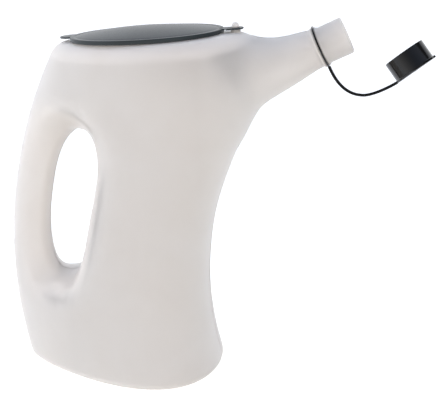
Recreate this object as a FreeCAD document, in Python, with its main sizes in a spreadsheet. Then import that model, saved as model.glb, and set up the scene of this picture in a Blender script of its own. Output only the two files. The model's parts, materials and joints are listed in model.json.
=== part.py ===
import FreeCAD, Part
import math
import os

import Sketcher

from FreeCAD import Placement, Rotation, Vector

# A blow-moulded pouring jug: one hollow skin that bends from a teardrop base into a raised spout,
# a through grip at the back, a snap lid on a moulded strap and a tethered spout cap.
#
# Frame: millimetres, Z up, the base lies in Z = 0, the spout points along +X, and XZ is the
# plane of symmetry. Two smaller frames hang on it:
#   deck frame   origin at the lid's centre on the deck, X up the slope to the spout, Z off the deck
#   spout frame  origin at the mouth's centre, Z out of the mouth, X down to the underside

doc = FreeCAD.newDocument("PouringJug")
sheet = doc.addObject("Spreadsheet::Sheet", "Sizes")

SIZES = (
    # the bent body: front and back walls are arcs about one bend axis that runs along Y
    ("bend_axis_x", 333.0, "bend axis, distance in front of the origin"),
    ("bend_axis_z", 85.0, "bend axis, height above the base"),
    ("front_radius", 261.5, "front wall about the bend axis"),
    ("back_radius", 428.2, "outside of the grip about the bend axis, at its fullest"),
    ("back_full_angle", 6.0, "fullest point of the grip side above the waist, degrees"),
    ("back_bow", 0.7, "how far the grip side has drawn in 10 degrees from there"),
    ("body_half_depth", 59.0, "widest half depth of the teardrop section"),
    ("nose_taper", 0.40, "how far the section narrows to the grip: 0 is an ellipse"),
    ("deck_nose_taper", 0.16, "the same under the deck, where the section is blunter"),
    ("body_wall", 2.0, "wall of the moulded skin"),
    ("base_round", 9.0, "outside radius round the base"),
    # the deck that carries the lid
    ("deck_height", 276.8, "height of the deck above the origin"),
    ("deck_tilt", 3.9, "slope of the deck up to the spout, degrees"),
    ("deck_station", 2.61, "last body section below the deck's back edge, degrees about the bend axis"),
    ("shoulder_round", 17.0, "outside radius round the deck"),
    # the grip
    ("grip_thickness", 30.0, "grip, front to back"),
    ("grip_half_depth", 18.0, "grip, half of its side to side size"),
    ("slot_gap", 41.0, "clear gap for the fingers, front to back"),
    ("slot_low_angle", -0.6, "lower end of the slot about the bend axis, degrees"),
    ("slot_high_angle", 18.4, "upper end of the slot about the bend axis, degrees"),
    ("slot_lean", 4.5, "how much the body side of the slot leans back at its foot"),
    # the spout
    ("mouth_x", 176.8, "centre of the mouth"),
    ("mouth_rise", 5.7, "centre of the mouth above the deck height"),
    ("spout_angle", 26.0, "rise of the spout's axis, degrees"),
    ("tip_diameter", 28.4, "outside of the plain tip that the cap fits"),
    ("tip_length", 18.6, "plain tip, from the mouth to the snap bead"),
    ("seat_diameter", 29.2, "groove that the tether ring turns in"),
    ("bead_height", 0.7, "snap bead in front of the groove, above it"),
    ("bead_length", 1.8, "snap bead along the axis"),
    ("shoulder_height", 1.2, "stop behind the groove, above it"),
    ("shoulder_length", 2.0, "stop along the axis"),
    # fill opening, collar and nub
    ("lid_centre_x", 23.6, "centre of the lid and the opening"),
    ("lid_half_length", 60.0, "lid, half length outside"),
    ("lid_half_width", 44.5, "lid, half width outside"),
    ("lid_height", 3.4, "top edge of the lid above the deck"),
    ("lid_wall", 1.2, "lid plate and skirt"),
    ("lid_dome", 1.8, "rise of the lid's domed panel"),
    ("lid_rim", 4.0, "flat rim round the domed panel"),
    ("lid_lift", 0.3, "air between the skirt and the deck"),
    ("collar_gap", 1.4, "air between the skirt and the collar"),
    ("collar_height", 2.0, "collar above the deck"),
    ("collar_wall", 2.0, "collar wall"),
    ("tab_reach", 9.0, "thumb tab beyond the lid's edge"),
    ("tab_width", 18.0, "thumb tab"),
    ("hinge_reach", 1.8, "fold line of the lid's strap beyond the lid's edge"),
    ("hinge_slit", 0.3, "slit between the two halves of the strap"),
    ("strap_width", 12.0, "strap of the lid"),
    ("strap_thickness", 1.2, "strap of the lid"),
    ("nub_reach", 9.1, "nub beyond the lid's edge"),
    ("nub_pin_diameter", 3.8, "nub, inside the eye"),
    ("nub_head_diameter", 5.6, "nub, above the eye"),
    ("nub_head_height", 3.4, "nub, above the eye"),
    ("nub_boss_diameter", 7.6, "foot of the nub"),
    ("eye_diameter", 12.6, "round end of the strap"),
    ("eye_clearance", 0.25, "air between the eye and the nub"),
    # tether and cap
    ("ring_diameter", 33.7, "tether ring outside"),
    ("ring_thickness", 1.8, "tether ring along the axis"),
    ("ring_clearance", 0.25, "air round the ring in its groove"),
    ("tether_thickness", 1.8, "tether strap"),
    ("tether_width", 5.0, "tether strap"),
    ("tether_root", 0.6, "how deep the strap's ends reach into the ring and the cap's rim"),
    ("fold_ahead", 11.07, "point that the cap swings about, in front of the mouth"),
    ("fold_below", 43.09, "the same, below the mouth"),
    ("cap_open_angle", 78.5, "swing from the mouth to where the cap hangs, degrees"),
    ("cap_aside", 12.0, "how far the ring has turned in its groove towards -Y, degrees"),
    ("tether_drop", 1.55, "lowest point of the tether below the fold point"),
    ("tether_shift", 2.97, "lowest point of the tether in front of the fold point"),
    ("cap_clearance", 0.75, "air between the cap and the tip, all round"),
    ("cap_wall", 1.0, "cap wall"),
    ("cap_end", 1.8, "closed end of the cap"),
    ("cap_height", 16.5, "cap, closed end to open end"),
    ("cap_flange", 0.8, "rim of the closed end beyond the wall"),
    ("cap_seat", 0.15, "air between the shut cap and the mouth"),
    ("lip_reach", 0.6, "pull lip beyond the flange"),
    ("lip_width", 9.0, "pull lip"),
    ("lip_root", 2.0, "how deep the lip reaches into the cap's rim"),
)

for row, (alias, value, note) in enumerate(SIZES, start=1):
    sheet.set("A%d" % row, alias)
    sheet.set("B%d" % row, str(value))
    sheet.setAlias("B%d" % row, alias)
    sheet.set("C%d" % row, note)
doc.recompute()


def size(alias):
    """Value of one driving dimension."""
    return float(sheet.get(alias))


def bind(item, **formulas):
    """Bind properties of an object to formulas over the sheet's aliases."""
    for name, formula in formulas.items():
        item.setExpression(name.replace("__", "."), in_sheet(formula))


def in_sheet(formula):
    """Write Sizes. before each alias of a formula."""
    words = []
    word = ""
    for letter in formula + " ":
        if letter.isalnum() or letter == "_":
            word += letter
        else:
            words.append("Sizes." + word if word in ALIASES else word)
            words.append(letter)
            word = ""
    return "".join(words).strip()


ALIASES = {alias for alias, value, note in SIZES}


# ---------------------------------------------------------------- skin of the body

def on_bend(radius, angle, y=0.0):
    """Point at a radius and an angle above the waist, about the bend axis."""
    turn = math.radians(angle)
    x = size("bend_axis_x") - radius * math.cos(turn)
    z = size("bend_axis_z") + radius * math.sin(turn)
    return Vector(x, y, z)


def closed_curve(points):
    """Smooth closed wire through a ring of points, evenly paced so that lofts share its knots."""
    curve = Part.BSplineCurve()
    curve.interpolate(Points=points, PeriodicFlag=True, Parameters=[float(i) for i in range(len(points) + 1)])
    return Part.Wire([curve.toShape()])


def teardrop(front, back, half_depth, taper):
    """Section of the skin between a front and a back point: blunt in front, narrow behind."""
    count = 16
    widest = max(math.sin(math.pi * i / 200) * (1 - taper * math.cos(math.pi * i / 200)) for i in range(201))
    points = []
    for i in range(count):
        turn = 2 * math.pi * i / count
        along = 0.5 * (1 - math.cos(turn))
        across = half_depth * math.sin(turn) * (1 - taper * math.cos(turn)) / widest
        middle = back + (front - back) * along
        points.append(middle + Vector(0, across, 0))
    return closed_curve(points)


# Sections of the throat, from the body to the spout: centre x, centre below the deck height,
# rise of the axis, height, half depth and taper
THROAT = (
    (49.3, 14.5, 38.0, 160.5, 58.0, 0.08),
    (80.0, 8.3, 29.4, 115.0, 46.0, 0.05),
    (106.5, 17.8, 28.5, 61.0, 27.5, 0.0),
    (130.3, 15.1, 28.5, 39.6, 19.7, 0.0),
    (143.8, 9.6, 27.5, 33.2, 16.6, 0.0),
)
BODY_STATIONS = 8
LOWEST_STATION = -32.0  # degrees about the bend axis, clear below the base


def skin_sections(inset):
    """Sections of the body and the spout, drawn in by an inset."""
    sections = []
    deck_reach = (size("deck_height") - size("bend_axis_z")) / size("back_radius")
    highest = math.degrees(math.asin(deck_reach)) - size("deck_station")
    for i in range(BODY_STATIONS):
        angle = LOWEST_STATION + (highest - LOWEST_STATION) * i / (BODY_STATIONS - 1)
        blunt = max(0.0, angle - highest / 6) / (highest - highest / 6)
        taper = size("nose_taper") + (size("deck_nose_taper") - size("nose_taper")) * blunt
        front = on_bend(size("front_radius") + inset, angle)
        bow = size("back_bow") * ((angle - size("back_full_angle")) / 10.0) ** 2
        back = on_bend(size("back_radius") - bow - inset, angle)
        sections.append(teardrop(front, back, size("body_half_depth") - inset, taper))
    stop = size("tip_length") + size("bead_length") + 2 * size("ring_clearance") + size("ring_thickness")
    neck_centre = spout_point(0.0, -stop - size("shoulder_length") / 2)
    radius = size("seat_diameter") / 2
    neck = (neck_centre.x, size("deck_height") - neck_centre.z, size("spout_angle"), 2 * radius, radius, 0.0)
    for x, below, rise, height, half_depth, taper in THROAT + (neck,):
        up = Vector(-math.sin(math.radians(rise)), 0, math.cos(math.radians(rise)))
        reach = up * (height / 2 - inset)
        centre = Vector(x, 0, size("deck_height") - below)
        sections.append(teardrop(centre - reach, centre + reach, half_depth - inset, taper))
    return sections


def spout_point(down, out, y=0.0):
    """Point in the spout frame, as a point of the part."""
    turn = math.radians(size("spout_angle"))
    x = size("mouth_x") + out * math.cos(turn) + down * math.sin(turn)
    z = size("deck_height") + size("mouth_rise") + out * math.sin(turn) - down * math.cos(turn)
    return Vector(x, y, z)


def slot_ring(y, gap_front, gap_back, low, high):
    """Outline of the finger slot at one depth: a squarish oval bent about the bend axis."""
    count = 24
    square = 2.0 / 2.8
    middle = (low + high) / 2
    half = (high - low) / 2
    points = []
    for i in range(count):
        turn = 2 * math.pi * i / count
        across = math.copysign(abs(math.cos(turn)) ** square, math.cos(turn))
        along = math.copysign(abs(math.sin(turn)) ** square, math.sin(turn))
        foot = gap_front - size("slot_lean") * along
        radius = (foot + gap_back) / 2 + (gap_back - foot) / 2 * across
        points.append(on_bend(radius, middle + half * along, y))
    return closed_curve(points)


# Flare of the slot: depth as a share of the grip's half depth, then the growth at that depth
# on the grip side, on the body side and at both ends
FLARE = (
    (0.00, 0.0, 0.0, 0.0),
    (0.45, 1.9, 0.0, 0.6),
    (0.78, 6.5, 0.0, 2.2),
    (1.00, 14.0, 0.0, 5.0),
    (1.22, 24.0, 0.5, 8.0),
    (1.80, 40.0, 2.0, 13.0),
    (2.55, 55.0, 5.0, 19.0),
    (3.45, 70.0, 12.0, 27.0),
    (4.45, 85.0, 22.0, 36.0),
)


SLOT_MARKS = tuple(range(3, 2 * len(FLARE) - 3))
SKIN_MARKS = (7, 8, 9, 11)


def slot_form(wall):
    """Solid that fills the finger slot: smooth outside, or thicker by a wall and ruled for the cavity."""
    grip_face = size("back_radius") - size("grip_thickness")
    body_face = grip_face - size("slot_gap")
    middle_radius = (grip_face + body_face) / 2
    rings = []
    for side in (-1, 1):
        for share, grip_growth, body_growth, end_growth in FLARE:
            y = side * (share * size("grip_half_depth") - 0.9 * wall * min(1.0, share))
            spread = math.degrees((end_growth + wall) / middle_radius)
            rings.append((y, slot_ring(y, body_face - body_growth - wall, grip_face + grip_growth + wall,
                                       size("slot_low_angle") - spread, size("slot_high_angle") + spread)))
    rings.sort(key=lambda ring: ring[0])
    wires = [wire for y, wire in rings if not (y == 0 and wire is not rings[len(FLARE)][1])]
    if wall:
        return Part.makeLoft(wires, True, True)
    return loft(wires, SLOT_MARKS)


def loft(sections, marks):
    """Smooth solid through closed sections, its skin parted into faces at the marked sections."""
    solid = Part.makeLoft(sections, True, False)
    skin = max(solid.Faces, key=lambda face: face.Area)
    around = skin.Surface.getUKnots()
    along = skin.Surface.getVKnots()
    stops = [0] + list(marks) + [len(along) - 1]
    faces = [face for face in solid.Faces if face.Area < skin.Area]
    for start, end in zip(stops, stops[1:]):
        stretch = skin.Surface.copy()
        stretch.segment(around[0], around[-1], along[start], along[end])
        faces.append(stretch.toShape())
    shell = Part.makeShell(faces)
    shell.sewShape()
    return Part.makeSolid(shell)


def form(name, shape):
    """Free-form solid kept as an object of the document."""
    item = doc.addObject("Part::Feature", name)
    item.Shape = shape
    return item


def cut(name, base, tool):
    item = doc.addObject("Part::Cut", name)
    item.Base = base
    item.Tool = tool
    return item


def fuse(name, *pieces):
    item = doc.addObject("Part::MultiFuse", name)
    item.Shapes = list(pieces)
    return item


def ease_edges(kind, name, base, radius, wanted):
    """Fillet or chamfer the edges that a test picks."""
    doc.recompute()
    item = doc.addObject(kind, name)
    item.Base = base
    picked = [i for i, edge in enumerate(base.Shape.Edges, start=1) if wanted(edge)]
    item.Edges = [(i, radius, radius) for i in picked]
    return item


def deck_frame():
    return Placement(Vector(size("lid_centre_x"), 0, deck_z(size("lid_centre_x"))),
                     Rotation(Vector(0, 1, 0), -size("deck_tilt")))


def deck_z(x):
    """Height of the deck over a point of the base."""
    return size("deck_height") + x * math.tan(math.radians(size("deck_tilt")))


SPAN = 500.0  # longer than the jug, for the blocks that trim it


def trimmed(name, skin, floor, ceiling, kind, low_round, high_round):
    """Cut a skin flat at the base and along the deck, and fillet or chamfer both rims."""
    below = doc.addObject("Part::Box", name + "_below")
    below.Length = below.Width = below.Height = SPAN
    below.Placement = Placement(Vector(-SPAN / 2, -SPAN / 2, floor - SPAN), Rotation())
    above = doc.addObject("Part::Box", name + "_above")
    above.Length = above.Width = above.Height = SPAN
    reach = size("lid_half_length") + size("nub_reach") + 20.0
    corner = deck_frame().multVec(Vector(reach - SPAN, -SPAN / 2, ceiling))
    above.Placement = Placement(corner, deck_frame().Rotation)
    blank = cut(name + "_blank", cut(name + "_standing", skin, below), above)
    turned = deck_frame().inverse()

    def on_deck(edge):
        heights = [turned.multVec(point).z - ceiling for point in edge.discretize(5)]
        return max(abs(z) for z in heights) < 0.01

    def on_base(edge):
        return max(abs(point.z - floor) for point in edge.discretize(5)) < 0.01

    shouldered = ease_edges(kind, name + "_shoulder", blank, high_round, on_deck)
    return ease_edges(kind, name + "_rounded", shouldered, low_round, on_base)


outer_form = form("outer_form", loft(skin_sections(0.0), SKIN_MARKS))
inner_form = form("inner_form", loft(skin_sections(size("body_wall")), SKIN_MARKS))
slot = form("finger_slot", slot_form(0.0))
slot_inside = form("finger_slot_walled", slot_form(size("body_wall")))
wall = size("body_wall")
CHAMFER_SHARE = 0.75  # chamfer of a corner inside, as a share of the round that would run along the outer one
inner_low = CHAMFER_SHARE * (size("base_round") - wall)
inner_high = CHAMFER_SHARE * (size("shoulder_round") - wall)
outside = cut("jug_outside", trimmed("outer", outer_form, 0.0, 0.0, "Part::Fillet", size("base_round"),
                                     size("shoulder_round")), slot)
cavity = cut("jug_cavity", trimmed("inner", inner_form, wall, -wall, "Part::Chamfer", inner_low,
                                   inner_high), slot_inside)
skin = cut("jug_skin", outside, cavity)


# ------------------------------------------- fittings of the deck, in the deck frame

def oval_block(name, half_length, half_width, low, high):
    """Upright oval prism in the deck frame; its sizes are formulas."""
    oval = doc.addObject("Part::Ellipse", name + "_oval")
    bind(oval, MajorRadius=half_length, MinorRadius=half_width, Placement__Base__z=low)
    block = doc.addObject("Part::Extrusion", name)
    block.Base = oval
    block.DirMode = "Normal"
    block.Solid = True
    bind(block, LengthFwd="(%s) - (%s)" % (high, low))
    return block


def post(name, diameter, low, high, x="0"):
    """Upright cylinder in the deck frame; its sizes are formulas."""
    item = doc.addObject("Part::Cylinder", name)
    bind(item, Radius="(%s) / 2" % diameter, Height="(%s) - (%s)" % (high, low),
         Placement__Base__x=x, Placement__Base__z=low)
    return item


NUB_X = "lid_half_length + nub_reach"
STRAP_LOW = "lid_height - strap_thickness"
COLLAR_LENGTH = "lid_half_length - lid_wall - collar_gap"
COLLAR_WIDTH = "lid_half_width - lid_wall - collar_gap"

collar = oval_block("collar", COLLAR_LENGTH, COLLAR_WIDTH, "-body_wall / 2", "collar_height")
nub_boss = post("nub_boss", "nub_boss_diameter", "-2 * body_wall", STRAP_LOW + " - 0.1", NUB_X)
nub_pin = post("nub_pin", "nub_pin_diameter", "0", "lid_height + 0.5", NUB_X)
nub_head = doc.addObject("Part::Cone", "nub_head")
bind(nub_head, Radius1="nub_head_diameter / 2", Radius2="nub_head_diameter / 2 - 0.9",
     Height="nub_head_height", Placement__Base__x=NUB_X, Placement__Base__z="lid_height + 0.2")
deck_fittings = fuse("deck_fittings", collar, nub_boss, nub_pin, nub_head)
deck_fittings.Placement = deck_frame()

opening = oval_block("fill_opening", COLLAR_LENGTH + " - collar_wall", COLLAR_WIDTH + " - collar_wall",
                     "-2 * shoulder_round", "2 * collar_height")
opening.Placement = deck_frame().multiply(Placement(Vector(0, 0, 0), Rotation()))


# --------------------------------------------------- profiles, revolved and padded

def sketch_on(body, name, plane):
    sketch = body.newObject("Sketcher::SketchObject", name)
    planes = {item.Role: item for item in body.Origin.OriginFeatures}
    sketch.AttachmentSupport = [(planes[plane], "")]
    sketch.MapMode = "FlatFace"
    return sketch


def outline(sketch, corners):
    """Closed outline whose corners are pairs of formulas over the sheet."""
    points = [Vector(value(x), value(y), 0) for x, y in corners]
    for i, point in enumerate(points):
        sketch.addGeometry(Part.LineSegment(point, points[(i + 1) % len(points)]), False)
    for i in range(len(points)):
        after = (i + 1) % len(points)
        sketch.addConstraint(Sketcher.Constraint("Coincident", i, 2, after, 1))
    for i, (x, y) in enumerate(corners):
        for kind, formula, number in (("DistanceX", x, points[i].x), ("DistanceY", y, points[i].y)):
            place = sketch.addConstraint(Sketcher.Constraint(kind, -1, 1, i, 1, number))
            sketch.setExpression("Constraints[%d]" % place, in_sheet(formula))


def value(formula):
    """Number that a formula over the sheet's aliases comes to."""
    sheet.set("E1", "=" + formula)
    sheet.recompute()
    return float(sheet.get("E1"))


def revolved(name, label, corners):
    """Body turned about its Z axis from an outline in its XZ plane."""
    body = doc.addObject("PartDesign::Body", name)
    body.Label = label
    sketch = sketch_on(body, name + "_profile", "XZ_Plane")
    outline(sketch, corners)
    turned = body.newObject("PartDesign::Revolution", name + "_turned")
    turned.Profile = (sketch, [""])
    turned.ReferenceAxis = (sketch, ["V_Axis"])
    turned.Angle = 360
    return body


SEAT = "seat_diameter / 2"
BORE = "(seat_diameter / 2 - body_wall)"
TIP = "tip_diameter / 2"
BEAD = "(seat_diameter / 2 + bead_height)"
STOP = "(seat_diameter / 2 + shoulder_height)"
GROOVE_TOP = "(-tip_length - bead_length)"
GROOVE_FOOT = "(-tip_length - bead_length - ring_thickness - 2 * ring_clearance)"
STOP_FOOT = "(-tip_length - bead_length - ring_thickness - 2 * ring_clearance - shoulder_length)"
spout_tip = revolved("spout_tip", "spout_tip", (
    (BORE, STOP_FOOT), (SEAT, STOP_FOOT), (STOP, STOP_FOOT + " + 0.5"), (STOP, GROOVE_FOOT),
    (SEAT, GROOVE_FOOT), (SEAT, GROOVE_TOP), (BEAD, GROOVE_TOP), (BEAD, GROOVE_TOP + " + 0.5"),
    (TIP, "-tip_length"), (TIP, "-0.5"), (TIP + " - 0.5", "0"), (BORE, "0")))
spout_tip.Placement = Placement(spout_point(0, 0), Rotation(Vector(0, 1, 0), 90.0 - size("spout_angle")))
spout_bore = doc.addObject("Part::Cylinder", "spout_bore")
bind(spout_bore, Radius=BORE, Height="tip_length * 2")
spout_bore.Placement = Placement(spout_point(0, -1.5 * size("tip_length")), spout_tip.Placement.Rotation)

jug_filled = fuse("jug_filled", skin, spout_tip, deck_fittings)
jug_open = cut("jug_open", cut("jug_bored", jug_filled, spout_bore), opening)
jug_open.Label = "jug_body"


# ----------------------------------------------------------------------------- lid

# share of the panel that each oval of the dome spans, and its share of the rise
DOME_STEPS = ((1.0, -0.5), (1.0, 0.0), (0.5, 1.0))


def dome(name, low):
    """Shallow dome over an oval: ruled through ovals that shrink as they rise."""
    rings = []
    for i, (share, rise) in enumerate(DOME_STEPS):
        ring = doc.addObject("Part::Ellipse", "%s_ring_%d" % (name, i))
        bind(ring, MajorRadius="%g * (%s)" % (share, PANEL_LENGTH), MinorRadius="%g * (%s)" % (share, PANEL_WIDTH),
             Placement__Base__z="%s + %g * lid_dome" % (low, rise))
        rings.append(ring)
    block = doc.addObject("Part::Loft", name)
    block.Sections = rings
    block.Solid = True
    block.Ruled = True
    return block


PANEL_LENGTH = "lid_half_length - lid_rim"
PANEL_WIDTH = "lid_half_width - lid_rim"
plate = oval_block("lid_plate", "lid_half_length", "lid_half_width", "lid_lift", "lid_height")
room = oval_block("lid_room", "lid_half_length - lid_wall", "lid_half_width - lid_wall",
                  "-lid_height", "lid_height - lid_wall")
crown = dome("lid_crown", "lid_height")
hollow = dome("lid_hollow", "lid_height - lid_wall")
tab_pad = doc.addObject("Part::Box", "lid_tab_pad")
bind(tab_pad, Length="tab_reach + lid_rim - tab_width / 2", Width="tab_width", Height="lid_wall",
     Placement__Base__x="-lid_half_length - tab_reach + tab_width / 2",
     Placement__Base__y="-tab_width / 2", Placement__Base__z="lid_height - lid_wall")
tab_end = post("lid_tab_end", "tab_width", "lid_height - lid_wall", "lid_height",
               "-lid_half_length - tab_reach + tab_width / 2")
lid_strap = doc.addObject("Part::Box", "lid_strap")
bind(lid_strap, Length="hinge_reach - hinge_slit / 2 + lid_rim", Width="strap_width",
     Height="strap_thickness", Placement__Base__x="lid_half_length - lid_rim",
     Placement__Base__y="-strap_width / 2", Placement__Base__z=STRAP_LOW)
lid_solid = fuse("lid_solid", plate, crown, tab_pad, tab_end)
lid_shell = cut("lid_shell", cut("lid_emptied", lid_solid, room), hollow)
lid = fuse("lid", lid_shell, lid_strap)
lid.Placement = deck_frame()

# end of the lid's strap, pressed over the nub
eye_disc = post("eye_disc", "eye_diameter", STRAP_LOW, STRAP_LOW + " + strap_thickness", NUB_X)
eye_strap = doc.addObject("Part::Box", "eye_strap")
bind(eye_strap, Length="nub_reach - hinge_reach - hinge_slit / 2", Width="strap_width",
     Height="strap_thickness", Placement__Base__x="lid_half_length + hinge_reach + hinge_slit / 2",
     Placement__Base__y="-strap_width / 2", Placement__Base__z=STRAP_LOW)
eye_hole = post("eye_hole", "(nub_pin_diameter + 2 * eye_clearance)", "-1", "2 * lid_height", NUB_X)
eye = cut("eye", fuse("eye_blank", eye_disc, eye_strap), eye_hole)
eye.Label = "lid_eye"
eye.Placement = deck_frame()


# ---------------------------------------------------------------- tether and cap

def spin(point, about, angle):
    """Turn a point in the XZ plane about another, X towards Z."""
    turn = math.radians(angle)
    x = point.x - about.x
    z = point.z - about.z
    return Vector(about.x + x * math.cos(turn) - z * math.sin(turn), 0,
                  about.z + x * math.sin(turn) + z * math.cos(turn))


fold = spout_point(0, 0) + Vector(size("fold_ahead"), 0, -size("fold_below"))
low_point = fold + Vector(size("tether_shift"), 0, -size("tether_drop"))
shut_end = spout_point(0, size("cap_seat") + size("cap_end"))
open_end = spin(shut_end, fold, -size("cap_open_angle"))
cap_slope = size("spout_angle") - size("cap_open_angle") + 90.0
along_cap = Vector(math.cos(math.radians(cap_slope)), 0, math.sin(math.radians(cap_slope)))
out_of_cap = Vector(along_cap.z, 0, -along_cap.x)


def strap(path):
    """Flat strap along tangent runs in the XZ plane: a section swept along the path."""
    start = path[0].valueAt(path[0].FirstParameter)
    heading = path[0].tangentAt(path[0].FirstParameter)
    side = Vector(0, size("tether_width") / 2, 0)
    lift = heading.cross(Vector(0, 1, 0)).normalize() * (size("tether_thickness") / 2)
    corners = [start + side + lift, start - side + lift, start - side - lift, start + side - lift]
    section = Part.makePolygon(corners + corners[:1])
    return Part.Wire(path).makePipeShell([section], True, False)


def bend_to(start, heading, low):
    """Path from a start point: straight along a heading, then an arc that is level at the low point."""
    side = 1 if start.x > low.x else -1
    drop = math.acos(abs(heading.x))
    run = low - start
    off_line = run.x * heading.z - run.z * heading.x
    radius = abs(off_line / (1 - math.cos(drop)))
    centre = low + Vector(0, 0, radius)
    slit = math.degrees(size("hinge_slit") / 2 / radius)
    near = spin(low, centre, side * slit)
    middle = spin(low, centre, side * math.degrees(drop) / 2)
    far = spin(low, centre, side * math.degrees(drop))
    return [Part.LineSegment(start, far).toShape(), Part.Arc(far, middle, near).toShape()]


# first half: from the foot of the ring to the lowest point
ring_middle = -size("tip_length") - size("bead_length") - size("ring_clearance") - size("ring_thickness") / 2
ring_foot = spout_point(size("ring_diameter") / 2 - size("tether_root"), ring_middle)
radial = (spout_point(1, 0) - spout_point(0, 0)).normalize()
first_half = form("tether_first_half", strap(bend_to(ring_foot, radial, low_point)))

tether_ring = revolved("ring", "ring", (
    (SEAT + " + ring_clearance", GROOVE_TOP + " - ring_clearance - ring_thickness"),
    ("ring_diameter / 2", GROOVE_TOP + " - ring_clearance - ring_thickness"),
    ("ring_diameter / 2", GROOVE_TOP + " - ring_clearance"),
    (SEAT + " + ring_clearance", GROOVE_TOP + " - ring_clearance")))
tether_ring.Placement = spout_tip.Placement
tether = fuse("tether", tether_ring, first_half)
tether.Label = "tether_ring"
out_of_mouth = spout_point(0, 1) - spout_point(0, 0)
aside = Placement(Vector(0, 0, 0), Rotation(out_of_mouth, -size("cap_aside")), spout_point(0, 0))
tether.Placement = aside

# second half: from the rim of the cap's closed end to the lowest point
cap_middle = open_end - out_of_cap * (size("cap_end") / 2)
cap_rim = cap_middle - along_cap * (size("tip_diameter") / 2 + size("cap_clearance") + size("tether_root"))
second_half = form("tether_second_half", strap(bend_to(cap_rim, -along_cap, low_point)))

CAP_BORE = "(tip_diameter / 2 + cap_clearance)"
CAP_OUT = "(tip_diameter / 2 + cap_clearance + cap_wall)"
CAP_RIM = "(tip_diameter / 2 + cap_clearance + cap_wall + cap_flange)"
cup = revolved("cup", "cup", (
    ("0", "-cap_end"), (CAP_BORE, "-cap_end"), (CAP_BORE, "-cap_height"), (CAP_OUT, "-cap_height"),
    (CAP_OUT, "-cap_end"), (CAP_RIM, "-cap_end"), (CAP_RIM, "-0.4"), (CAP_RIM + " - 0.4", "0"), ("0", "0")))
lip = doc.addObject("Part::Box", "pull_lip")
bind(lip, Length="lip_reach + lip_root", Width="lip_width", Height="cap_end")
cap_frame = Placement(open_end, Rotation(along_cap, Vector(0, -1, 0), out_of_cap, "XZY"))
cup.Placement = cap_frame
lip_corner = Vector(value(CAP_RIM) - size("lip_root"), -size("lip_width") / 2, -size("cap_end"))
lip.Placement = cap_frame.multiply(Placement(lip_corner, Rotation()))
cap = fuse("cap", cup, lip, second_half)
cap.Label = "spout_cap"
cap.Placement = aside

# ------------------------------------------------------------- checks and export

PIECES = (jug_open, lid, eye, tether, cap)
doc.recompute()
for item in doc.Objects:
    if "Invalid" in item.State or "Error" in item.State:
        raise RuntimeError("%s failed" % item.Name)
for piece in PIECES:
    if piece.Shape.isNull() or not piece.Shape.isValid():
        raise RuntimeError("%s has no valid shape" % piece.Label)
os.makedirs("parts", exist_ok=True)
for piece in PIECES:
    piece.Shape.exportStep("parts/%s.step" % piece.Label)
    print(piece.Label, len(piece.Shape.Solids), "solid", round(piece.Shape.Volume / 1000, 2), "ml")
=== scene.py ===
import math

import bmesh
import bpy
import numpy as np
from mathutils import Matrix, Vector
from mathutils.bvhtree import BVHTree
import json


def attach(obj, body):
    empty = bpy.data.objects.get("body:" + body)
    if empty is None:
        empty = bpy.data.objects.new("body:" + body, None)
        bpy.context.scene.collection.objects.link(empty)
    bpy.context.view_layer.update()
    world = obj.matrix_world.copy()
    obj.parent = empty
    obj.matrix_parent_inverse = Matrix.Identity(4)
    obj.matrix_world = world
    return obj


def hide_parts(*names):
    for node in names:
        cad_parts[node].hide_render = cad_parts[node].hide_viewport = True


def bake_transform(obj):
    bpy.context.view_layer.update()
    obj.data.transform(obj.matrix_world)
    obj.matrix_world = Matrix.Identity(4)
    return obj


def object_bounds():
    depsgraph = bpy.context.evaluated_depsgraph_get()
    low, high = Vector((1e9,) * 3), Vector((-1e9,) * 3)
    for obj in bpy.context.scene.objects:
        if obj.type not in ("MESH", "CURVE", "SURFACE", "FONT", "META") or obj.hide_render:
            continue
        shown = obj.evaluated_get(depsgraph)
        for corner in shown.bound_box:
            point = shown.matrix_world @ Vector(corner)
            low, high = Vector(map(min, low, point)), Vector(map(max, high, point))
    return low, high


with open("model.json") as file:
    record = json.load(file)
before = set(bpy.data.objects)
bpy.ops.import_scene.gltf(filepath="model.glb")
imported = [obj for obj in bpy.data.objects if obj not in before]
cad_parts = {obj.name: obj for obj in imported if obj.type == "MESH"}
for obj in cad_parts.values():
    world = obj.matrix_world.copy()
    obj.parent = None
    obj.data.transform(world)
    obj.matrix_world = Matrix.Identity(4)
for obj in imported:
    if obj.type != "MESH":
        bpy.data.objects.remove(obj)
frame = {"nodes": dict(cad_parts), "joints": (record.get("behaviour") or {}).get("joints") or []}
cad_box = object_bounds()


# ------------------------------------------------------------------------ studio
# White paper sweep in a bright white room, lit most from the left, from behind and off
# the paper, with one large soft box in front. The camera stands a little above the deck,
# forward of the jug's side.

MM = 0.001


def linear(hex_colour):
    """sRGB hex to the linear colour that shaders and lights work in."""
    channels = [int(hex_colour[i:i + 2], 16) / 255 for i in (1, 3, 5)]
    return [c / 12.92 if c <= 0.04045 else ((c + 0.055) / 1.055) ** 2.4 for c in channels] + [1.0]


def add(tree, kind, settings=None, links=None):
    """Add one node: settings by attribute, socket name or socket number, links by socket."""
    node = tree.nodes.new(kind)
    for name, value in (settings or {}).items():
        if isinstance(name, int) or name in node.inputs:
            node.inputs[name].default_value = value
        else:
            setattr(node, name, value)
    for name, source in (links or {}).items():
        tree.links.new(source, node.inputs[name])
    return node


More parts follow.
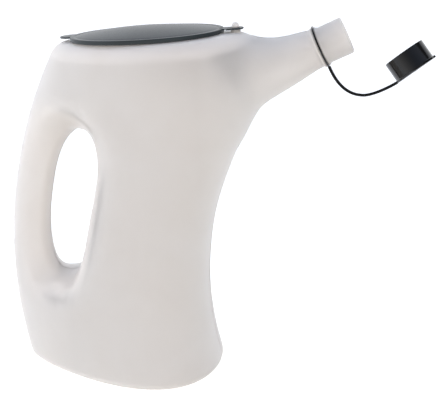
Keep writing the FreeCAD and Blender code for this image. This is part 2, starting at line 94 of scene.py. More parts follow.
camera_target = Vector((82.0, 0.0, 146.0)) * MM
camera_azimuth = math.radians(7.5)
camera_rise = math.radians(18.4)
camera_distance = 753.0 * MM
towards_camera = Vector((math.sin(camera_azimuth) * math.cos(camera_rise),
                         -math.cos(camera_azimuth) * math.cos(camera_rise),
                         math.sin(camera_rise)))
camera_data = bpy.data.cameras.new("studio_camera")
camera_data.lens = 75.4
camera_data.sensor_width = 36.0
camera_data.clip_start = 0.05
camera = bpy.data.objects.new("studio_camera", camera_data)
bpy.context.collection.objects.link(camera)
camera.location = camera_target + towards_camera * camera_distance
camera.rotation_euler = towards_camera.to_track_quat("Z", "Y").to_euler()
bpy.context.scene.camera = camera
bpy.context.scene.view_settings.view_transform = "Standard"

# What each of the room's six sides throws in: axis and side, colour and strength. A ray takes
# the square of its own part along an axis, so the shares of the sides add up to one.
side_lights = (("X", -1, "#fdfdff", 1.68), ("X", 1, "#fffcf8", 1.02),
               ("Y", -1, "#ffffff", 0.16), ("Y", 1, "#fbfdff", 1.45),
               ("Z", -1, "#fffefd", 0.68), ("Z", 1, "#b8d2ff", 0.55))
world = bpy.data.worlds.new("white_room")
bpy.context.scene.world = world
world.use_nodes = True
room = world.node_tree
ray = add(room, "ShaderNodeTexCoord").outputs["Generated"]
ray_parts = add(room, "ShaderNodeSeparateXYZ", links={"Vector": ray})
room_light = None
for axis, side, colour, strength in side_lights:
    facing = add(room, "ShaderNodeMapRange",
                 {"From Min": 0.0, "From Max": side, "To Min": 0.0, "To Max": 1.0},
                 {"Value": ray_parts.outputs[axis]})
    share = add(room, "ShaderNodeMath", {"operation": "POWER", 1: 2.0}, {0: facing.outputs["Result"]})
    thrown = add(room, "ShaderNodeVectorMath",
                 {"operation": "SCALE", 0: [strength * channel for channel in linear(colour)[:3]]},
                 {"Scale": share.outputs["Value"]})
    if room_light is not None:
        thrown = add(room, "ShaderNodeVectorMath", {"operation": "ADD"},
                     {0: room_light, 1: thrown.outputs["Vector"]})
    room_light = thrown.outputs["Vector"]
lighting = room.nodes["Background"]
room.links.new(room_light, lighting.inputs["Color"])
# the room is plain white wherever it shows behind the jug
plain_white = add(room, "ShaderNodeBackground", {"Color": linear("#ffffff"), "Strength": 1.0})
seen = add(room, "ShaderNodeMixShader",
           links={"Fac": add(room, "ShaderNodeLightPath").outputs["Is Camera Ray"],
                  1: lighting.outputs["Background"], 2: plain_white.outputs["Background"]})
room.links.new(seen.outputs["Shader"], room.nodes["World Output"].inputs["Surface"])

# the soft box stays out of the gloss, so the lid and the cap mirror the room instead
box_place = Vector((0.15, -1.5, 0.40))
box_aim = Vector((0.08, 0.0, 0.15))
box_data = bpy.data.lights.new("soft_box_front", "AREA")
box_data.shape = "RECTANGLE"
box_data.size = 2.0
box_data.size_y = 1.6
box_data.energy = 22.0
box_data.color = linear("#fff9f5")[:3]
soft_box = bpy.data.objects.new("soft_box_front", box_data)
bpy.context.collection.objects.link(soft_box)
soft_box.location = box_place
soft_box.rotation_euler = (box_place - box_aim).to_track_quat("Z", "Y").to_euler()
soft_box.visible_glossy = False


def studio_sheet(name, corners, coating, colour, roughness, passed_by):
    """Flat sheet of the studio, which the named kinds of ray pass by; returns its shader."""
    mesh = bpy.data.meshes.new(name)
    mesh.from_pydata(corners, [], [(0, 1, 2, 3)])
    surface = bpy.data.materials.new(coating)
    surface.use_nodes = True
    shader = surface.node_tree.nodes["Principled BSDF"]
    shader.inputs["Base Color"].default_value = linear(colour)
    shader.inputs["Roughness"].default_value = roughness
    mesh.materials.append(surface)
    sheet = bpy.data.objects.new(name, mesh)
    bpy.context.collection.objects.link(sheet)
    for kind in passed_by:
        setattr(sheet, "visible_" + kind, False)
    return shader


# the room's own light from below stands for what the paper throws back
sweep_half = 12.0
sweep_corners = [(-sweep_half, -sweep_half, 0), (sweep_half, -sweep_half, 0),
                 (sweep_half, sweep_half, 0), (-sweep_half, sweep_half, 0)]
paper = studio_sheet("sweep", sweep_corners, "matt_paper_sweep", "#f6f6f5", 0.9,
                     ("diffuse", "transmission", "shadow"))
paper.inputs["Emission Color"].default_value = linear("#ffffff")
paper.inputs["Emission Strength"].default_value = 0.5

# black card to the right, which only gloss picks up: it keeps the cap's flank deep black
card_corners = [(1.1, -0.75, 0.2), (1.1, 0.55, 0.2), (0.9, 0.55, 1.3), (0.9, -0.75, 1.3)]
studio_sheet("black_card", card_corners, "black_felt", "#101010", 1.0,
             ("camera", "diffuse", "transmission", "shadow"))


# ---------------------------------------------------------------------- jug body
# One blow-moulded skin of natural HDPE, 2 mm thick, with its through grip, deck and spout.
# The two mould halves meet in the plane of symmetry, where they leave a fine ridge all
# round and inside the grip.

# Where the grip rolls over into the finger slot, the blown plastic turns in one soft curve.
# The roll is worked out on a grid of x and z round the slot, as a change of the skin's
# height over the plane of symmetry. Its sizes are in mm.
grid_step = 1.5
grid_x = (-108.0, 36.0)
grid_z = (34.0, 244.0)
# spread of the bell-shaped weight that softens the heights, and how many cells it reaches
bell_spread = 6.0
bell_cells = 14
# the roll sets in over these distances from the slot and from the grid's border
from_slot = (0.5, 7.0)
from_border = (2.0, 16.0)
# it moves both faces of the skin, and dies away over these depths under the outer one
roll_depth = (3.5, 6.0)
# longest edge left by each round of cutting, where the roll moves the skin by more than a trace
cut_lengths = (12.0, 6.0, 3.0, 2.5)
cut_trace = 0.06
cut_off_plane = 3.0
# rounds of smoothing of what the roll moved, away from the middle of the slot's own wall
smooth_rounds = 12
smooth_trace = 0.05
smooth_off_plane = 6.0


def eased(value, low, high):
    """Smooth step from 0 at low to 1 at high."""
    t = np.clip((value - low) / (high - low), 0.0, 1.0)
    return t * t * (3 - 2 * t)


def softened(heights, known):
    """Heights averaged with a bell-shaped weight over the known cells round each cell."""
    bell = np.exp(-0.5 * (np.arange(-bell_cells, bell_cells + 1) * grid_step / bell_spread) ** 2)
    sums = []
    for field in (heights * known, known.astype(float)):
        for axis in (0, 1):
            field = np.apply_along_axis(lambda row: np.convolve(row, bell, "same"), axis, field)
        sums.append(field)
    return sums[0] / np.maximum(sums[1], 1e-6)


def skin_height(tree, x, z):
    """Height of the outermost skin over the plane of symmetry, in mm; None where there is none."""
    beside_jug = 200.0
    met = tree.ray_cast(Vector((x, beside_jug, z)) * MM, Vector((0, -1, 0)))[0]
    return None if met is None else met.y / MM


def roll_grids(tree):
    """Softened skin height in each cell of the grid, and the share of it that the skin takes."""
    xs = np.arange(*grid_x, grid_step)
    zs = np.arange(*grid_z, grid_step)
    heights = np.array([[skin_height(tree, x, z) or 0.0 for z in zs] for x in xs])
    known = heights > 0.0
    open_cells = np.argwhere(~known)
    to_slot = np.zeros(heights.shape)
    for i, k in np.argwhere(known):
        to_slot[i, k] = np.sqrt(((open_cells - (i, k)) ** 2).sum(axis=1).min()) * grid_step
    to_border = np.minimum.outer(np.minimum(xs - xs[0], xs[-1] - xs), np.minimum(zs - zs[0], zs[-1] - zs))
    return softened(heights, known), eased(to_slot, *from_slot) * eased(to_border, *from_border) * known


def read_grid(grid, x, z):
    """Value of a grid at a place, blended between its four nearest cells."""
    column = min(max((x - grid_x[0]) / grid_step, 0.0), grid.shape[0] - 1.001)
    row = min(max((z - grid_z[0]) / grid_step, 0.0), grid.shape[1] - 1.001)
    i, k = int(column), int(row)
    right, up = column - i, row - k
    return ((grid[i, k] * (1 - up) + grid[i, k + 1] * up) * (1 - right)
            + (grid[i + 1, k] * (1 - up) + grid[i + 1, k + 1] * up) * right)


def roll_rims(work):
    """Cut the skin finer along the rims of the finger slot, then move it to the soft roll."""
    tree = BVHTree.FromBMesh(work)
    soft_height, share = roll_grids(tree)

    def roll_at(place):
        """How far the roll moves the skin over a place, and the place's depth under it, in mm."""
        x, y, z = place / MM
        taken = read_grid(share, x, z)
        height = skin_height(tree, x, z) if taken > 0.0 else None
        if height is None:
            return 0.0, 0.0
        return taken * (read_grid(soft_height, x, z) - height), height - abs(y)

    def too_long(edge, longest):
        """Whether an edge is longer than it may be where the roll bends the skin."""
        start, end = (vert.co for vert in edge.verts)
        if edge.calc_length() <= longest * MM or abs(start.y) <= cut_off_plane * MM:
            return False
        return any(abs(roll_at(start.lerp(end, t))[0]) > cut_trace for t in (0.0, 0.5, 1.0))

    for longest in cut_lengths:
        edges = [edge for edge in work.edges if too_long(edge, longest)]
        bmesh.ops.subdivide_edges(work, edges=edges, cuts=1)
        bmesh.ops.triangulate(work, faces=[face for face in work.faces if len(face.verts) > 3])
    shifts = []
    for vert in work.verts:
        shift, depth = roll_at(vert.co)
        side = 1 if vert.co.y > 0 else -1
        shifts.append(side * shift * (1.0 - float(eased(depth, *roll_depth))) * MM)
    for vert, shift in zip(work.verts, shifts):
        vert.co.y += shift
    moved = [vert for vert, shift in zip(work.verts, shifts)
             if abs(shift) > smooth_trace * MM and abs(vert.co.y) > smooth_off_plane * MM]
    for _ in range(smooth_rounds):
        bmesh.ops.smooth_vert(work, verts=moved, factor=0.5,
                              use_axis_x=True, use_axis_y=True, use_axis_z=True)


def smooth_piece(name, mesh, sharp):
    """Object of a mesh, shaded smooth apart from edges that bend by more than an angle in degrees."""
    mesh.polygons.foreach_set("use_smooth", [True] * len(mesh.polygons))
    mesh.set_sharp_from_angle(angle=math.radians(sharp))
    piece = bpy.data.objects.new(name, mesh)
    bpy.context.collection.objects.link(piece)
    return piece


weld_distance = 0.002
jug_mesh = frame["nodes"]["jug_body"].data.copy()
jug_mesh.name = "jug_skin"
skin_work = bmesh.new()
skin_work.from_mesh(jug_mesh)
bmesh.ops.remove_doubles(skin_work, verts=skin_work.verts, dist=weld_distance * MM)
roll_rims(skin_work)
skin_work.to_mesh(jug_mesh)
skin_work.free()
jug_mesh.materials.clear()
jug_skin = smooth_piece("jug_skin", jug_mesh, sharp=32.0)


def ring_mesh(name, rings, place=Matrix.Identity(4), closed=False, sharp=40.0):
    """Closed mesh skinned through rings of points in mm; closed joins its last ring to the first."""
    work = bmesh.new()
    rows = [[work.verts.new(place @ (Vector(point) * MM)) for point in ring] for ring in rings]
    joined = list(zip(rows, rows[1:])) + ([(rows[-1], rows[0])] if closed else [])
    for near, far in joined:
        for k in range(len(near)):
            after = (k + 1) % len(near)
            work.faces.new((near[k], near[after], far[after], far[k]))
    if not closed:
        work.faces.new(rows[0][::-1])
        work.faces.new(rows[-1])
    bmesh.ops.recalc_face_normals(work, faces=work.faces)
    mesh = bpy.data.meshes.new(name)
    work.to_mesh(mesh)
    work.free()
    return smooth_piece(name, mesh, sharp)


# half of the mould ridge's section: half width and height over the skin, then its root's depth
ridge_half = ((0.55, -0.20), (0.36, 0.08), (0.15, 0.20))
ridge_root = 0.7
# rings over which an open ridge runs out at each end
ridge_run_out = 5
# the ridge doesn't make the grip's back reach further out than the jug is long
grip_back = cad_box[0][0] / MM
skin_tree = BVHTree.FromPolygons([vert.co for vert in jug_mesh.vertices],
                                 [face.vertices for face in jug_mesh.polygons])


def skin_line(starts, heading):
    """Where rays in the plane of symmetry first meet the skin, with the skin's normals there, in mm."""
    # just off the plane, so that no ray runs along the seam between two facets
    beside_plane = 0.001
    met = []
    for x, z in starts:
        place, normal, _, _ = skin_tree.ray_cast(Vector((x, beside_plane, z)) * MM, Vector(heading))
        if place is not None:
            met.append((Vector((place.x, 0, place.z)) / MM, Vector((normal.x, 0, normal.z)).normalized()))
    return met


def mould_ridge(name, line, closed=False):
    """Fine ridge along a line on the skin, where the mould halves met."""
    rings = []
    for i, (place, normal) in enumerate(line):
        fade = 1.0 if closed else min(1.0, i / ridge_run_out, (len(line) - 1 - i) / ridge_run_out)
        crest = [(side, rise * fade) for side, rise in ridge_half]
        crest += [(-side, rise) for side, rise in reversed(crest)]
        section = [(ridge_half[0][0], -ridge_root)] + crest + [(-ridge_half[0][0], -ridge_root)]
        ring = [place + normal * rise + Vector((0, side, 0)) for side, rise in section]
        rings.append([(max(point.x, grip_back), point.y, point.z) for point in ring])
    return ring_mesh(name, rings, closed=closed, sharp=60.0)


def evenly(first, last, step):
    """Numbers from first to last about a step apart."""
    count = max(2, round(abs(last - first) / step))
    return [first + (last - first) * k / count for k in range(count + 1)]


# the rays start well outside the skin, and those of the slot in its middle
behind_grip, before_front, under_throat, over_neck = -200.0, 150.0, 100.0, 400.0
slot_middle = (-44.0, 143.0)
slot_rays = 160
grip_line = skin_line([(behind_grip, z) for z in evenly(8.0, 262.0, 2.0)], (1, 0, 0))
front_line = skin_line([(before_front, z) for z in evenly(8.0, 196.0, 2.0)], (-1, 0, 0))
throat_line = skin_line([(x, under_throat) for x in evenly(94.0, 140.0, 1.5)], (0, 0, 1))
neck_line = skin_line([(x, over_neck) for x in evenly(104.0, 152.0, 1.5)], (0, 0, -1))
slot_line = []
for turn in [2 * math.pi * k / slot_rays for k in range(slot_rays)]:
    slot_line += skin_line([slot_middle], (math.cos(turn), 0, math.sin(turn)))
mould_ridges = [mould_ridge("mould_ridge_grip", grip_line),
                mould_ridge("mould_ridge_front", front_line + throat_line),
                mould_ridge("mould_ridge_neck", neck_line),
                mould_ridge("mould_ridge_slot", slot_line, closed=True)]


def material(name):
    """Empty node material; returns it, its tree and its output node."""
    item = bpy.data.materials.new(name)
    item.use_nodes = True
    item.node_tree.nodes.clear()
    return item, item.node_tree, add(item.node_tree, "ShaderNodeOutputMaterial")


def set_stops(ramp, stops):
    """Give a colour ramp its stops, each a position and an sRGB hex colour."""
    for k, (position, colour) in enumerate(stops):
        stop = ramp.elements[k] if k < 2 else ramp.elements.new(position)
        stop.position = position
        stop.color = linear(colour)


# Natural HDPE, blow moulded against a fine-blasted steel mould: milky and satin, with light
# that carries about a centimetre inside it. The wall varies in thickness, which clouds its
# tone, and it cooled with soft sags and a fine peel.
peel_size, sag_size, cloud_size = 1.6 * MM, 38.0 * MM, 55.0 * MM
# nearly all of a noise's values lie in this span
noise_span = {"From Min": 0.3, "From Max": 0.7}
natural_hdpe, tree, output = material("natural_hdpe_blow_moulded")
place = add(tree, "ShaderNodeTexCoord").outputs["Object"]
peel = add(tree, "ShaderNodeTexNoise", {"Scale": 1 / peel_size, "Detail": 3.0, "Roughness": 0.55},
           {"Vector": place})
sag = add(tree, "ShaderNodeTexNoise", {"Scale": 1 / sag_size, "Detail": 1.5, "Roughness": 0.4},
          {"Vector": place})
cloud = add(tree, "ShaderNodeTexNoise",
            {"Scale": 1 / cloud_size, "Detail": 2.0, "Roughness": 0.5, "Distortion": 0.6}, {"Vector": place})
peel_bump = add(tree, "ShaderNodeBump", {"Strength": 0.10, "Distance": 0.15 * MM},
                {"Height": peel.outputs["Fac"]})
sag_bump = add(tree, "ShaderNodeBump", {"Strength": 0.2, "Distance": 0.6 * MM},
               {"Height": sag.outputs["Fac"], "Normal": peel_bump.outputs["Normal"]})
tone = add(tree, "ShaderNodeValToRGB", links={"Fac": cloud.outputs["Fac"]})
set_stops(tone.color_ramp, ((0.32, "#eee7e1"), (0.68, "#f1ebe6")))
# painted light and shade along the jug's length: the grip and the throat are painted lighter, and the spout
# is painted darker towards its mouth
along = add(tree, "ShaderNodeMapRange",
            {"From Min": -95.0 * MM, "From Max": 195.0 * MM, "To Min": 0.0, "To Max": 1.0},
            {"Value": add(tree, "ShaderNodeSeparateXYZ", links={"Vector": place}).outputs["X"]})
painted_light_ramp = add(tree, "ShaderNodeValToRGB", links={"Fac": along.outputs["Result"]})
set_stops(painted_light_ramp.color_ramp, ((0.11, "#fdfdfd"), (0.21, "#eeefef"), (0.57, "#ebebeb"), (0.67, "#fbfbfb"),
                                 (0.79, "#fafafa"), (0.90, "#e8e8e8"), (0.98, "#cfcfcd")))
# sockets 6 and 7 are the two colours that the node multiplies, and 2 is the colour it gives
# the random cloud tone, times the painted light and shade along the length
cloud_tone_and_painted_light = add(tree, "ShaderNodeMix", {"data_type": "RGBA", "blend_type": "MULTIPLY", "Factor": 1.0},
             {6: tone.outputs["Color"], 7: painted_light_ramp.outputs["Color"]})
gloss = add(tree, "ShaderNodeMapRange", {**noise_span, "To Min": 0.34, "To Max": 0.42},
            {"Value": peel.outputs["Fac"]})
shader = add(tree, "ShaderNodeBsdfPrincipled",
             {"IOR": 1.54, "Subsurface Weight": 0.85, "Subsurface Radius": (1.0, 1.0, 1.0),
              "Subsurface Scale": 12.0 * MM, "Subsurface Anisotropy": 0.3},
             {"Base Color": cloud_tone_and_painted_light.outputs[2], "Roughness": gloss.outputs["Result"],
              "Normal": sag_bump.outputs["Normal"]})
tree.links.new(shader.outputs["BSDF"], output.inputs["Surface"])
for piece in [jug_skin] + mould_ridges:
    piece.data.materials.append(natural_hdpe)
    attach(piece, "jug")
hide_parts("jug_body")


# --------------------------------------------------------------------------- lid
# Snap lid, injection-moulded in dark grey LDPE: a low domed panel in a flat rim, a skirt
# with a snap bead that clips over the collar, and a thumb tab at the grip end.

joints = {joint["name"]: joint for joint in frame["joints"]}


def oval(half_length, half_width, z, count=96):
    """Ring of points on an oval at one height, in mm."""
    turns = [2 * math.pi * k / count for k in range(count)]
    return [(half_length * math.cos(turn), half_width * math.sin(turn), z) for turn in turns]


def frame_at(origin, along, up):
    """Matrix of a right-handed frame with its X along one direction and its Z along another."""
    axes = Matrix((along, up.cross(along), up)).transposed()
    return Matrix.Translation(origin) @ axes.to_4x4()


def eased_plate(name, outline_at, low, high, edge, place):
    """Flat plate with eased edges: outline_at gives its outline drawn in by an inset, in mm."""
    levels = ((edge, low), (0.3 * edge, low + 0.3 * edge), (0.0, low + edge),
              (0.0, high - edge), (0.3 * edge, high - 0.3 * edge), (edge, high))
    return ring_mesh(name, [[(x, y, z) for x, y in outline_at(inset)] for inset, z in levels], place)


# half of the lid's length and width, and the heights of its top and foot over the deck, in mm
lid_half_length, lid_half_width = 60.0, 44.5
lid_top, lid_foot = 3.4, 0.3
# its wall, the width of its flat rim, and how far its dome rises
lid_wall, lid_rim, lid_dome = 1.2, 4.2, 4.3
# the strap's fold line, from the lid's middle
hinge_x = 61.8
# the lid's own frame lies along the tilted deck, with its origin under the lid's middle
deck_tilt = math.radians(3.9)
deck_along = Vector((math.cos(deck_tilt), 0.0, math.sin(deck_tilt)))
deck_up = Vector((-math.sin(deck_tilt), 0.0, math.cos(deck_tilt)))
deck = frame_at(Vector(joints["lid_hinge"]["pos_m"]) - (deck_along * hinge_x + deck_up * lid_top) * MM,
                deck_along, deck_up)


def domed(share, z):
    """Ring of the panel's dome: an oval that spans a share of the panel."""
    return oval((lid_half_length - lid_rim) * share, (lid_half_width - lid_rim) * share,
                z + lid_dome * (1 - share ** 2))


# skirt, snap bead, rolled edge, and the flat rim with the fine step where the dome starts: inset, height
skirt_and_rim = ((lid_wall + 0.5, lid_top - lid_wall), (lid_wall, lid_top - lid_wall - 0.4), (lid_wall, 1.3),
                 (lid_wall + 0.25, 1.0), (lid_wall, 0.7), (lid_wall - 0.2, lid_foot), (0.25, lid_foot),
                 (0.0, lid_foot + 0.25), (0.0, lid_top - 0.55), (0.06, lid_top - 0.3), (0.22, lid_top - 0.1),
                 (0.5, lid_top), (lid_rim - 0.5, lid_top), (lid_rim - 0.2, lid_top - 0.15))
lid_rings = [domed(share, lid_top - lid_wall) for share in (0.04, 0.2, 0.4, 0.6, 0.78, 0.92, 1.0)]
lid_rings += [oval(lid_half_length - inset, lid_half_width - inset, z) for inset, z in skirt_and_rim]
lid_rings += [domed(share, lid_top) for share in (0.98, 0.93, 0.86, 0.77, 0.66, 0.55, 0.43, 0.31, 0.18, 0.04)]
lid_panel = ring_mesh("lid_panel", lid_rings, deck)

tab_half = 9.0
# the tab is rooted this far inside the lid's edge
tab_root = 2.5
plate_edge = 0.3


def tab_outline(inset):
    """U-shaped thumb tab, from under the rim round its rounded end."""
    radius = tab_half - inset
    turns = [math.pi * (0.5 + k / 24) for k in range(25)]
    nose = [(-lid_half_length + radius * math.cos(turn), radius * math.sin(turn)) for turn in turns]
    return [(tab_root - lid_half_length, radius)] + nose + [(tab_root - lid_half_length, -radius)]


lid_tab = eased_plate("lid_thumb_tab", tab_outline, lid_top - lid_wall, lid_top - 0.05, plate_edge, deck)

# Grey LDPE, injection moulded in a spark-eroded mould: even dark grey with a fine grain,
# satin, so the dome takes a soft broad sheen and the edges a thin light line. The grain
# breaks up its mirror, so its IOR is set below the 1.51 of bare LDPE. Real grain is about
# 0.1 mm across, and it is drawn coarser so that it shows.
grain_size, flow_size = 0.9 * MM, 45.0 * MM
grey_ldpe, tree, output = material("grey_ldpe_spark_eroded")
place = add(tree, "ShaderNodeTexCoord").outputs["Object"]
grain = add(tree, "ShaderNodeTexNoise", {"Scale": 1 / grain_size, "Detail": 2.0}, {"Vector": place})
flow = add(tree, "ShaderNodeTexNoise", {"Scale": 1 / flow_size, "Detail": 1.0, "Distortion": 0.8},
           {"Vector": place})
bump = add(tree, "ShaderNodeBump", {"Strength": 0.10, "Distance": 0.1 * MM}, {"Height": grain.outputs["Fac"]})
tone = add(tree, "ShaderNodeValToRGB", links={"Fac": flow.outputs["Fac"]})
set_stops(tone.color_ramp, ((0.35, "#2a3032"), (0.65, "#30373a")))
gloss = add(tree, "ShaderNodeMapRange", {**noise_span, "To Min": 0.32, "To Max": 0.40},
            {"Value": grain.outputs["Fac"]})
shader = add(tree, "ShaderNodeBsdfPrincipled", {"IOR": 1.34},
             {"Base Color": tone.outputs["Color"], "Roughness": gloss.outputs["Result"],
              "Normal": bump.outputs["Normal"]})
tree.links.new(shader.outputs["BSDF"], output.inputs["Surface"])
for piece in (lid_panel, lid_tab):
    piece.data.materials.append(grey_ldpe)
    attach(piece, "lid")
    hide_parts("lid")


# ------------------------------------------------------- lid strap and snap nub
# The strap is part of the lid's moulding. It thins to a bending line at the lid's edge,
# and its round eye is pressed over a mushroom nub on the jug, which holds it.

strap_half = 6.0
strap_low = lid_top - lid_wall
# the nub's place along the deck, and the radii of the eye and of its hole
nub_x = 69.1
eye_radius, eye_hole = 6.3, 2.15
# place along the deck, and how much the bending line thins the strap from below
strap_thinning = ((lid_half_length - 3.0, 0.0), (hinge_x - 1.0, 0.0), (hinge_x - 0.6, 0.35),
                  (hinge_x - 0.2, 0.6), (hinge_x + 0.2, 0.6), (hinge_x + 0.6, 0.35),
                  (hinge_x + 1.0, 0.0), (nub_x - 3.4, 0.0))


def strap_section(x, thinning, edge=0.25):
    """Eased rectangle across the strap."""
    low, high = strap_low + thinning, lid_top
    half = [(strap_half - edge, low), (strap_half, low + edge),
            (strap_half, high - edge), (strap_half - edge, high)]
    return [(x, y, z) for y, z in half] + [(x, -y, z) for y, z in reversed(half)]


lid_strap = ring_mesh("lid_strap", [strap_section(x, thinning) for x, thinning in strap_thinning], deck)
eye_profile = ((eye_hole, strap_low + 0.2), (eye_hole + 0.2, strap_low), (eye_radius - 0.25, strap_low),
               (eye_radius, strap_low + 0.25), (eye_radius, lid_top - 0.25), (eye_radius - 0.25, lid_top),
               (eye_hole + 0.2, lid_top), (eye_hole, lid_top - 0.2))
at_nub = deck @ Matrix.Translation((nub_x * MM, 0, 0))
lid_eye = ring_mesh("lid_eye_ring", [oval(r, r, z, 48) for r, z in eye_profile], at_nub, closed=True)
# radius, and height over the eye's top
nub_profile = ((1.2, 0.1), (2.5, 0.12), (2.85, 0.3), (2.9, 0.7), (2.82, 1.5), (2.65, 2.4), (2.35, 3.1),
               (1.8, 3.55), (1.1, 3.8), (0.3, 3.88))
nub_head = ring_mesh("nub_head", [oval(r, r, lid_top + rise, 40) for r, rise in nub_profile], at_nub)
for piece in (lid_strap, lid_eye):
    piece.data.materials.append(grey_ldpe)
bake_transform(lid_strap)
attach(lid_eye, "jug")
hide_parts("lid_eye")
nub_head.data.materials.append(natural_hdpe)
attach(nub_head, "jug")


# --------------------------------------------------------- ring, tether and cap
# One moulding in black LDPE: a ring that turns in the spout's groove, a flat strap that
# bends at its lowest point, and a push-on cap with a rim and a pull lip. The open cap
# hangs a little to the front, its closed end down.

spout_rise = math.radians(26.0)
mouth = Vector(joints["cap_swivel"]["pos_m"])
out_of_mouth = Vector(joints["cap_swivel"]["axis"]).normalized()
fold = Vector(joints["cap_swing"]["pos_m"])
down_spout = out_of_mouth.cross(Vector(joints["cap_swing"]["axis"])).normalized()
spout = frame_at(mouth, down_spout, out_of_mouth)
# level and upright directions of the plane that the strap lies in
level = out_of_mouth * math.cos(spout_rise) + down_spout * math.sin(spout_rise)
upright = out_of_mouth * math.sin(spout_rise) - down_spout * math.cos(spout_rise)
sideways = upright.cross(level)

ring_inner, ring_outer = 14.85, 16.85
ring_low, ring_high = -22.25, -20.85
ring_edge = 0.35
ring_half = ((ring_inner, ring_edge), (ring_inner + ring_edge, 0.0), (ring_outer - ring_edge, 0.0),
             (ring_outer - 0.1, 0.1), (ring_outer, ring_edge))
ring_profile = [(r, ring_low + inset) for r, inset in ring_half]
ring_profile += [(r, ring_high - inset) for r, inset in reversed(ring_half)]
tether_band = ring_mesh("tether_band", [oval(r, r, z) for r, z in ring_profile], spout, closed=True)


def in_hang(across, rise):
    """Point in the strap's plane, from places in mm over the mouth's centre."""
    return mouth + (level * across + upright * rise) * MM


cap_open = math.radians(joints["cap_swing"]["range_deg"][1])
# gap between the tip and the shut cap's end, and how thick that end is
cap_seat, cap_end = 0.15, 1.8
cap_slope = spout_rise - cap_open + math.pi / 2
along_cap = level * math.cos(cap_slope) + upright * math.sin(cap_slope)
out_of_cap = level * math.sin(cap_slope) - upright * math.cos(cap_slope)
shut_end = mouth + out_of_mouth * (cap_seat + cap_end) * MM
open_end = fold + Matrix.Rotation(cap_open, 3, sideways) @ (shut_end - fold)
cap_place = frame_at(open_end, along_cap, out_of_cap)

# radii of the cap's bore, wall and rim, and its height; its closed end's outside is at 0
cap_bore, cap_out, cap_rim = 14.95, 15.95, 16.75
cap_height = 16.5
cap_profile = ((0.6, -cap_end), (cap_bore - 0.5, -cap_end), (cap_bore - 0.12, -cap_end - 0.14),
               (cap_bore, -cap_end - 0.5), (cap_bore, 0.5 - cap_height), (cap_bore + 0.3, -cap_height),
               (cap_out - 0.3, -cap_height), (cap_out - 0.08, 0.1 - cap_height), (cap_out, 0.3 - cap_height),
               (cap_out, -cap_end - 0.3), (cap_out + 0.12, -cap_end - 0.08), (cap_rim - 0.25, -cap_end),
               (cap_rim, -cap_end + 0.25), (cap_rim, -0.5), (cap_rim - 0.15, -0.15), (cap_rim - 0.5, 0.0),
               (2.0, 0.0), (1.7, -0.3), (0.6, -0.3))
cap_shell = ring_mesh("cap_shell", [oval(r, r, z) for r, z in cap_profile], cap_place)

lip_half = 4.5
lip_end = cap_rim + 0.6
lip_root = cap_rim - 2.0
lip_corner = 1.0


def lip_outline(inset):
    """Pull lip with rounded corners, rooted in the cap's rim."""
    half, end = lip_half - inset, lip_end - inset
    turns = [math.pi / 2 * k / 5 for k in range(6)]
    corner = [(end - lip_corner + lip_corner * math.sin(turn),
               half - lip_corner + lip_corner * math.cos(turn)) for turn in turns]
    return [(lip_root, -half), (lip_root, half)] + corner + [(x, -y) for x, y in reversed(corner)]


cap_lip = eased_plate("cap_pull_lip", lip_outline, -cap_end, -0.02, plate_edge, cap_place)

# ends of the strap's centre line, the ways it leaves them, and its lowest point, in the strap's plane;
# its roots lie inside the ring and inside the cap's rim
root_radius = 16.25
rim_root = 1.2
ring_middle = (ring_low + ring_high) / 2
strap_foot = (ring_middle * math.cos(spout_rise) + root_radius * math.sin(spout_rise),
              ring_middle * math.sin(spout_rise) - root_radius * math.cos(spout_rise))
foot_heading = (math.sin(spout_rise), -math.cos(spout_rise))
rim_place = open_end - (out_of_cap * cap_end / 2 + along_cap * (cap_rim - rim_root)) * MM - mouth
strap_tip = (rim_place.dot(level) / MM, rim_place.dot(upright) / MM)
tip_heading = (-math.cos(cap_slope), -math.sin(cap_slope))
lowest = (14.04, -44.63)
# how far the curve's handles reach: from the ring, back and on from the lowest point, from the cap
foot_pull, back_pull, on_pull, tip_pull = 19.5, 7.7, 8.4, 3.3


def bezier(start, start_pull, end_pull, end, count=28):
    """Points on a cubic curve from start to end, the last one left out."""
    line = []
    for k in range(count):
        t = k / count
        weights = ((1 - t) ** 3, 3 * (1 - t) ** 2 * t, 3 * (1 - t) * t ** 2, t ** 3)
        line.append(tuple(sum(weight * point[i] for weight, point in
                              zip(weights, (start, start_pull, end_pull, end))) for i in (0, 1)))
    return line


def reach(point, heading, length):
    """Point that lies a length along a heading."""
    return tuple(p + h * length for p, h in zip(point, heading))


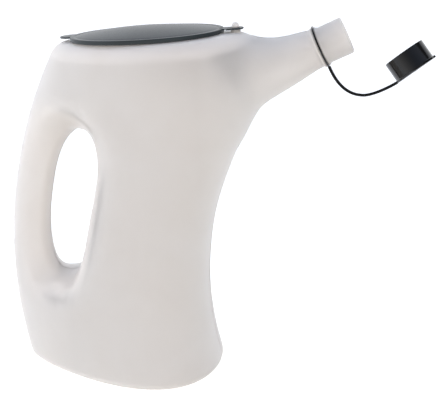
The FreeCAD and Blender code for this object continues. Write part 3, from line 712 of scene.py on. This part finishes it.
tether_half_width, tether_half_thickness, tether_edge = 2.5, 1.1, 0.3
strap_line = bezier(strap_foot, reach(strap_foot, foot_heading, foot_pull),
                    reach(lowest, (-1, 0), back_pull), lowest)
strap_line += bezier(lowest, reach(lowest, (1, 0), on_pull),
                     reach(strap_tip, tip_heading, tip_pull), strap_tip)
strap_line.append(strap_tip)
tether_section = [(tether_half_width - tether_edge, tether_half_thickness),
                  (tether_half_width, tether_half_thickness - tether_edge)]
tether_section += [(y, -t) for y, t in reversed(tether_section)]
tether_section += [(-y, t) for y, t in reversed(tether_section)]
tether_rings = []
for i, (across, rise) in enumerate(strap_line):
    before, after = strap_line[max(i - 1, 0)], strap_line[min(i + 1, len(strap_line) - 1)]
    heading = (level * (after[0] - before[0]) + upright * (after[1] - before[1])).normalized()
    inward = sideways.cross(heading)
    tether_rings.append([tuple((in_hang(across, rise) + (sideways * y + inward * t) * MM) / MM)
                         for y, t in tether_section])
tether_strap = ring_mesh("tether_strap", tether_rings)

# Black LDPE with carbon black, injection moulded in a polished mould: deep, even black with
# a clear soft gloss, so its walls mirror the white room where they turn away. The polish
# leaves a faint ripple, so its IOR too is set a little below 1.51.
ripple_size = 1.1 * MM
black_ldpe, tree, output = material("black_ldpe_polished_mould")
place = add(tree, "ShaderNodeTexCoord").outputs["Object"]
ripple = add(tree, "ShaderNodeTexNoise", {"Scale": 1 / ripple_size, "Detail": 2.0}, {"Vector": place})
bump = add(tree, "ShaderNodeBump", {"Strength": 0.08, "Distance": 0.1 * MM},
           {"Height": ripple.outputs["Fac"]})
gloss = add(tree, "ShaderNodeMapRange", {**noise_span, "To Min": 0.10, "To Max": 0.16},
            {"Value": ripple.outputs["Fac"]})
shader = add(tree, "ShaderNodeBsdfPrincipled", {"Base Color": linear("#131313"), "IOR": 1.44},
             {"Roughness": gloss.outputs["Result"], "Normal": bump.outputs["Normal"]})
tree.links.new(shader.outputs["BSDF"], output.inputs["Surface"])
for piece, body, node in ((tether_band, "tether", "tether_ring"), (cap_shell, "cap", "spout_cap"),
                          (cap_lip, "cap", "spout_cap")):
    piece.data.materials.append(black_ldpe)
    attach(piece, body)
    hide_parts(node)
tether_strap.data.materials.append(black_ldpe)
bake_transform(tether_strap)
